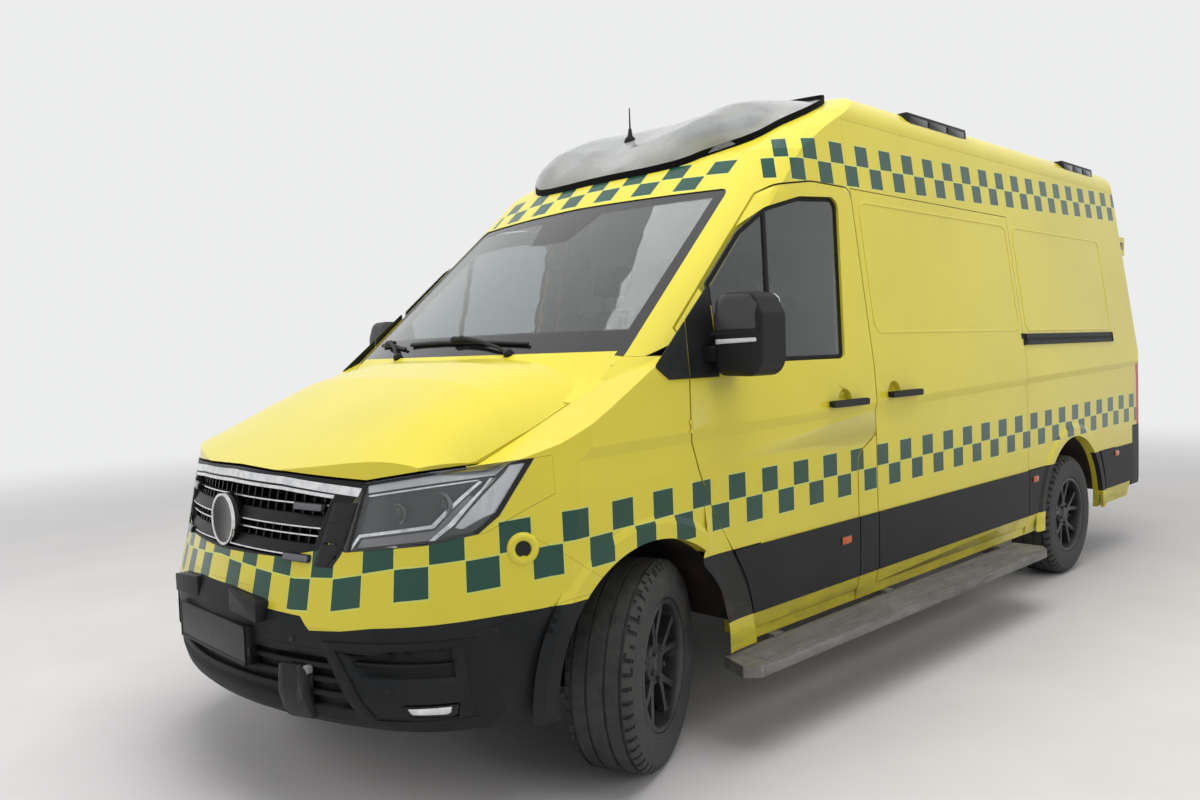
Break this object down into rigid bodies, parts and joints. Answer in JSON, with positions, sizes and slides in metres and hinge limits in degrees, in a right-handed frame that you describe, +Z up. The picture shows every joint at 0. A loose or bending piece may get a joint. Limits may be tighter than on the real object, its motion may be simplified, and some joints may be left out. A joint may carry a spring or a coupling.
{
  "type": "ambulance van",
  "caption": "High-roof panel-van ambulance with hinged doors and bonnet, steered front wheels and a smoked roof fairing.",
  "frame": {"origin": "on the ground under the middle of the bounding box", "axes": "+X to the vehicle's left, front towards -Y, +Z up"},
  "size_m": [2.427, 5.9859, 2.59],
  "materials": {
    "body_paint": "glossy yellow paint with green check bands",
    "black_plastic": "grained black moulding",
    "grille_plastic": "satin black louvres with bright strips",
    "lamp_glass": "clear polycarbonate lens",
    "tail_lens": "red lens",
    "window_glass": "tinted safety glass",
    "smoked_dome": "smoked acrylic fairing",
    "seal_rubber": "black rubber gasket",
    "rim_paint": "dark grey alloy wheel paint",
    "tyre_rubber": "black tyre rubber",
    "cast_parts": "black painted castings",
    "chassis_black": "matt black underbody paint",
    "engine_alloy": "dull cast aluminium",
    "exhaust_steel": "weathered steel",
    "dash_plastic": "dark grey soft-touch plastic",
    "seat_fabric": "dark grey woven fabric",
    "lining_panel": "pale grey wipe-clean panel",
    "step_alloy": "worn ribbed aluminium"
  },
  "bodies": {
    "van_body": {"grille": "grille_plastic", "headlamps": "lamp_glass", "front_bumper": "body_paint", "bumper_lower": "black_plastic", "fenders": "body_paint", "sliding_doors": "body_paint", "tail_lamps": "tail_lens", "rear_quarters": "body_paint", "upper_sides": "body_paint", "roof_panel": "body_paint", "cab_frame": "body_paint", "side_frames": "body_paint", "windscreen": "window_glass", "side_cladding": "black_plastic", "front_subframe": "chassis_black", "engine_block": "engine_alloy", "rear_axle": "cast_parts", "chassis_frame": "chassis_black", "fuel_tank": "black_plastic", "exhaust": "exhaust_steel", "floor_pan": "chassis_black", "cowl": "black_plastic", "dashboard": "dash_plastic", "steering_wheel": "dash_plastic", "seats": "seat_fabric", "bulkhead": "lining_panel", "wheel_housings": "black_plastic", "dome_seal": "seal_rubber", "roof_dome": "smoked_dome", "roof_lamps": "black_plastic", "wipers": "black_plastic", "side_steps": "step_alloy", "rear_bumper": "black_plastic"},
    "front_door_left": {"front_door_left": "body_paint", "door_glass_left": "window_glass", "mirror_left": "black_plastic", "door_trim_left": "black_plastic"},
    "front_door_right": {"front_door_right": "body_paint", "door_glass_right": "window_glass", "mirror_right": "black_plastic", "door_trim_right": "black_plastic"},
    "rear_door_left": {"rear_door_left": "body_paint", "rear_glass_left": "window_glass"},
    "rear_door_right": {"rear_door_right": "body_paint", "rear_glass_right": "window_glass"},
    "bonnet": {"bonnet": "body_paint"},
    "knuckle_left": {"knuckle_left": "cast_parts"},
    "knuckle_right": {"knuckle_right": "cast_parts"},
    "wheel_front_left": {"rim_front_left": "rim_paint", "tyre_front_left": "tyre_rubber"},
    "wheel_front_right": {"rim_front_right": "rim_paint", "tyre_front_right": "tyre_rubber"},
    "wheel_rear_left": {"rim_rear_left": "rim_paint", "tyre_rear_left": "tyre_rubber"},
    "wheel_rear_right": {"rim_rear_right": "rim_paint", "tyre_rear_right": "tyre_rubber"}
  },
  "joints": [
    {"name": "front_door_left_hinge", "type": "hinge", "parent": "van_body", "child": "front_door_left", "pos_m": [1.015, -1.775, 1.133], "axis": [0, 0, -1], "range_deg": [0, 68]},
    {"name": "front_door_right_hinge", "type": "hinge", "parent": "van_body", "child": "front_door_right", "pos_m": [-1.015, -1.775, 1.133], "axis": [0, 0, 1], "range_deg": [0, 68]},
    {"name": "rear_door_left_hinge", "type": "hinge", "parent": "van_body", "child": "rear_door_left", "pos_m": [0.88, 2.957, 1.4], "axis": [0, 0, -1], "range_deg": [0, 180]},
    {"name": "rear_door_right_hinge", "type": "hinge", "parent": "van_body", "child": "rear_door_right", "pos_m": [-0.88, 2.957, 1.4], "axis": [0, 0, 1], "range_deg": [0, 180]},
    {"name": "bonnet_hinge", "type": "hinge", "parent": "van_body", "child": "bonnet", "pos_m": [0, -1.95, 1.345], "axis": [-1, 0, 0], "range_deg": [0, 45]},
    {"name": "steering_left", "type": "hinge", "parent": "van_body", "child": "knuckle_left", "pos_m": [0.77, -1.967, 0.348], "axis": [0, 0, 1], "range_deg": [-59.6, 12.4]},
    {"name": "steering_right", "type": "hinge", "parent": "van_body", "child": "knuckle_right", "pos_m": [-0.77, -1.967, 0.348], "axis": [0, 0, 1], "range_deg": [-59.6, 12.4]},
    {"name": "wheel_front_left_spin", "type": "hinge", "parent": "knuckle_left", "child": "wheel_front_left", "pos_m": [0.86255, -1.92657, 0.348], "axis": [0.9164, 0.4003, 0], "continuous": true},
    {"name": "wheel_front_right_spin", "type": "hinge", "parent": "knuckle_right", "child": "wheel_front_right", "pos_m": [-0.86255, -2.00744, 0.348], "axis": [0.9164, 0.4003, 0], "continuous": true},
    {"name": "wheel_rear_left_spin", "type": "hinge", "parent": "van_body", "child": "wheel_rear_left", "pos_m": [0.871, 1.673, 0.348], "axis": [1, 0, 0], "continuous": true},
    {"name": "wheel_rear_right_spin", "type": "hinge", "parent": "van_body", "child": "wheel_rear_right", "pos_m": [-0.871, 1.673, 0.348], "axis": [1, 0, 0], "continuous": true}
  ],
  "couplings": [
    {"joint": "steering_right", "follows": "steering_left", "ratio": 1}
  ]
}
